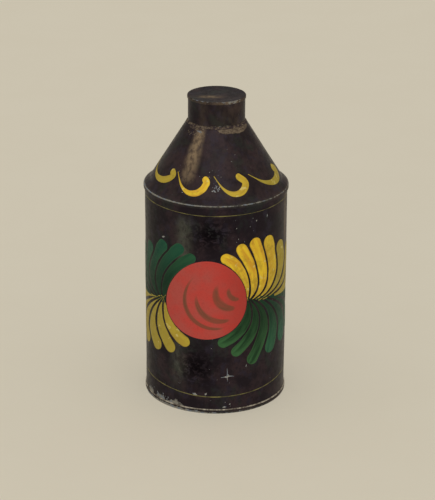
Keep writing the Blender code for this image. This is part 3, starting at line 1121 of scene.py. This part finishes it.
def build_cap():
    tube("cap_tube", "cap_band", "cap", "japanned_tin", band_marks)
    seam_strip("cap_seam_strip", "cap_seam_solder", "cap_band", "cap")
    low, high = heights("cap_top")
    outer = CAP_EDGE_RADIUS
    edge = CAP_BAND_RADIUS - 0.6
    section = sheet_section((
        (0, high - CAP_DISH, 0),
        (edge - 2.9, high - CAP_DISH, 0.8),
        (edge, high, 0.3),
        (outer, high, 0.35),
        (outer, low, 0),
    ), spacing=0.5)
    disc = turned("cap_disc", section, SMALL_COLUMNS, marks=cap_marks)
    attach(disc, "cap", "japanned_tin", "cap_top")
    fillet("cap_joint_bead", "cap_joint_solder", "cap")


# ---- chips and scratches

def fleck(paint, rng, across, up, length, width, slope=0.0):
    """One chip: an uneven blot, thin at both ends, lying at a slope in degrees."""
    run = Vector((cos(radians(slope)), sin(radians(slope))))
    left = Vector((-run.y, run.x))
    grid = []
    for i in range(8):
        along = i / 7
        half = width / 2 * (0.12 + sin(pi * along)) * rng.uniform(0.75, 1.2)
        middle = Vector((across, up)) + run * length * (along - 0.5) + left * width * rng.uniform(-0.1, 0.1)
        row = []
        for side in (1, 0, -1):
            place = middle + left * half * side * rng.uniform(0.7, 1.1)
            row.append((place.x, place.y, 0.012 if side else 0.02, along, side, 1.0))
        grid.append(row)
    paint.plate(grid, tone=rng.random())


BODY_ENDS = (2.6, 90.0)  # between the foot's flange and the shoulder's lip
CONE_ENDS = (0.6, 28.4)  # between the brim and the neck, down the slope


def scatter(paint, rng, ends, count, across, up, spread, size, slopes=(0, 180)):
    """Flecks about a place, folded back at the ends of the surface."""
    for _ in range(count):
        aside = rng.gauss(across, spread[0])
        height = rng.gauss(up, spread[1])
        height = max(height, 2 * ends[0] - height)
        height = min(height, 2 * ends[1] - height)
        fleck(
            paint, rng, aside, height,
            rng.uniform(0.35, 1) * size[0], rng.uniform(0.6, 1.4) * size[1], rng.uniform(*slopes),
        )


BLOTS = (  # across, up, length, width and slope of each mark that stands alone
    (5.2, 17.9, 6.4, 0.4, 91),  # the crossed scratch
    (4.2, 16.9, 3.8, 0.4, 6),
    (6.6, 17.2, 3.2, 0.42, -8),
    (5.7, 17.7, 2.2, 0.45, 128),
    (5.1, 17.0, 1.8, 1.0, 20),
    (-8.6, 8.5, 2.2, 0.9, -12),  # by the lower stripe and the foot
    (-3.9, 8.9, 1.3, 0.8, 55),
    (4.1, 2.9, 1.8, 0.6, 6),
    (6.4, 4.1, 0.8, 0.5, 30),
    (-24.2, 76.7, 1.7, 0.9, 20),  # over the left petals
    (23.4, 86.5, 1.5, 0.45, 85),  # at the right, under the upper stripe
    (17.7, 85.6, 0.7, 0.45, 60),
    (13.6, 21.0, 1.3, 0.35, 80),
)


# How many flecks, across, up, their spread each way, and the longest and thinnest.
BODY_CRUMBS = (
    (10, -25.0, 3.8, (6.0, 1.0), (0.9, 0.5)),  # about the foot
    (7, 9.0, 80.0, (4.5, 3.5), (0.6, 0.3)),
    (40, 0.0, 50.0, (40.0, 26.0), (0.45, 0.25)),
)
CONE_CRUMBS = (
    (16, 0.2, 4.4, (0.75, 0.9), (0.8, 0.5)),  # between the scallops
    (9, 8.0, 1.9, (0.8, 0.35), (0.7, 0.4)),
    (8, -12.0, 2.2, (1.2, 0.5), (0.7, 0.3)),
    (16, 3.0, 9.0, (9.0, 4.0), (0.45, 0.25)),
)


def build_chips(name, surface, seed, blots, ends, crumbs, look):
    """The marks that stand alone, and then the crumbs and stray flecks."""
    rng = Random(seed)
    paint = Paint(surface)
    for blot in blots:
        fleck(paint, rng, *blot)
    for crumb in crumbs:
        scatter(paint, rng, ends, *crumb)
    paint.attach(name, "bare_tin", look)


def build_neck_smear(look):
    """Solder wiped down the cone under the neck, and crumbs of it down the rubbed streak."""
    paint = Paint(on_cone)
    rng = Random(3)
    top_slant = (CONE_TOP[1] - BRIM[1]) * SLANT
    steps = 72
    for start, span, depth, tone in ((2, 74, 2.3, 0.5), (-60, 40, 1.1, 0.1)):
        jitter = [rng.uniform(-0.05, 0.05) for _ in range(steps + 1)]

        def point(along, share):
            ends = sin(pi * along)
            ragged = 1 + 0.08 * sin(13 * along) + 0.05 * sin(37 * along + 1)
            deep = max(depth * ends ** 0.4 * (ragged + jitter[round(along * steps)]), 0.1)
            lump = 0.5 + 0.5 * sin(41 * along + 9 * share) * sin(23 * along - 14 * share)
            lift = 0.02 + 0.13 * (1 - share) ** 0.7 * (0.5 + 0.5 * lump) * ends ** 0.3
            across = CONE_MIDDLE * radians(start + span * along)
            return across, top_slant - deep * share, lift, along, share, 1.0

        paint.plate(grid_of(steps, 10, point), tone)
    scatter(paint, rng, CONE_ENDS, 34, -16.0, 26.4, (5.0, 0.5), (1.0, 0.5), (-30, 30))
    scatter(paint, rng, CONE_ENDS, 40, -13.0, 14.5, (1.5, 6.0), (0.5, 0.3))
    paint.attach("neck_smear", "solder", look)


# ---- stage, lights and camera

FLOOR_RADIUS = 9.0  # metres
TIN_MIDDLE = Vector((0, 0, 0.06))  # metres


def build_stage():
    """A pale floor, wide enough to fill every view."""
    floor = bmesh.new()
    bmesh.ops.create_circle(floor, cap_ends=True, segments=96, radius=FLOOR_RADIUS)
    piece = mesh_object("floor", floor)
    f = Finish("floor_paper")
    base = f.mix(f.noise(0.02, 4, 0.6), rgb(234, 229, 216), rgb(231, 225, 211))
    piece.data.materials.append(f.finish(base, 0.9, f.noise(0.4, 3), specular=0.0))
    piece.location.z = -0.02 * MM


def lamp(name, kind, energy, azimuth, elevation, distance):
    """A lamp that is turned to the tin and casts no hard shadow on the floor."""
    light = bpy.data.lights.new(name, kind)
    light.energy = energy
    light.use_shadow = False
    piece = linked(name, light)
    tilt = radians(elevation)
    away = polar(distance * cos(tilt), radians(azimuth), distance * sin(tilt)) / MM
    piece.location = TIN_MIDDLE + away
    piece.rotation_euler = (-away).to_track_quat("-Z", "Y").to_euler()
    return light


def build_lights():
    """A dim room, a wide overhead light, and a small one that draws the streak down the cone."""
    world = bpy.data.worlds.new("studio")
    world.use_nodes = True
    background = world.node_tree.nodes["Background"]
    background.inputs["Color"].default_value = (0.60, 0.57, 0.50, 1)
    background.inputs["Strength"].default_value = 0.58
    bpy.context.scene.world = world
    overhead = lamp("overhead", "SUN", 1.52, 2, 52, 2.0)
    overhead.angle = radians(50)
    overhead.color = (1.0, 0.97, 0.90)
    streak = lamp("streak", "AREA", 0.25, -32, 35, 1.1)
    streak.shape = "RECTANGLE"
    streak.size, streak.size_y = 0.18, 0.36


CAMERA_LEAN = 0.35  # degrees


def build_camera():
    camera = bpy.data.cameras.new("camera")
    camera.lens = 134.6
    camera.sensor_width = 36
    camera.clip_end = 50
    viewer = linked("camera", camera)
    target = Vector((0.75, 0, 62.7)) * MM
    viewer.location = Vector((0.75, -742.4, 355.25)) * MM
    lean = Quaternion((0, 0, 1), radians(CAMERA_LEAN))
    viewer.rotation_euler = ((target - viewer.location).to_track_quat("-Z", "Y") @ lean).to_euler()
    bpy.context.scene.camera = viewer
    bpy.context.scene.view_settings.view_transform = "Standard"


build_camera()
build_lights()
build_stage()
LOOKS = {
    "japanned_tin": japanned(), "bare_tin": tinplate(), "solder": solder(), "yellow_paint": yellow(),
    "green_paint": green(), "red_paint": red(), "dark_red_paint": dark_red(),
}
bright, wiped = rubbed_solder(), wiped_solder()
stripe_paint, chip_metal = worn_yellow(), chipped()
build_base(bright)
build_body()
build_shoulder()
build_neck(bright, wiped)
build_sifter(bright)
build_cap()
fan("yellow_fan_right", YELLOW_RIGHT, "yellow_paint")
fan("green_fan_right", GREEN_RIGHT, "green_paint")
fan("green_fan_left", GREEN_LEFT, "green_paint", cover=0.6)
fan("yellow_fan_left", YELLOW_LEFT, "yellow_paint")
build_flower()
build_flower_shading()
build_scallops()
build_stripe("upper_stripe", 89.1, 0.9, 0.28, stripe_paint)
build_stripe("lower_stripe", 7.7, 2.7, 0.4, stripe_paint)
build_chips("body_chips", on_body, 11, BLOTS, BODY_ENDS, BODY_CRUMBS, chip_metal)
build_chips("shoulder_chips", on_cone, 5, (), CONE_ENDS, CONE_CRUMBS, chip_metal)
build_neck_smear(wiped)
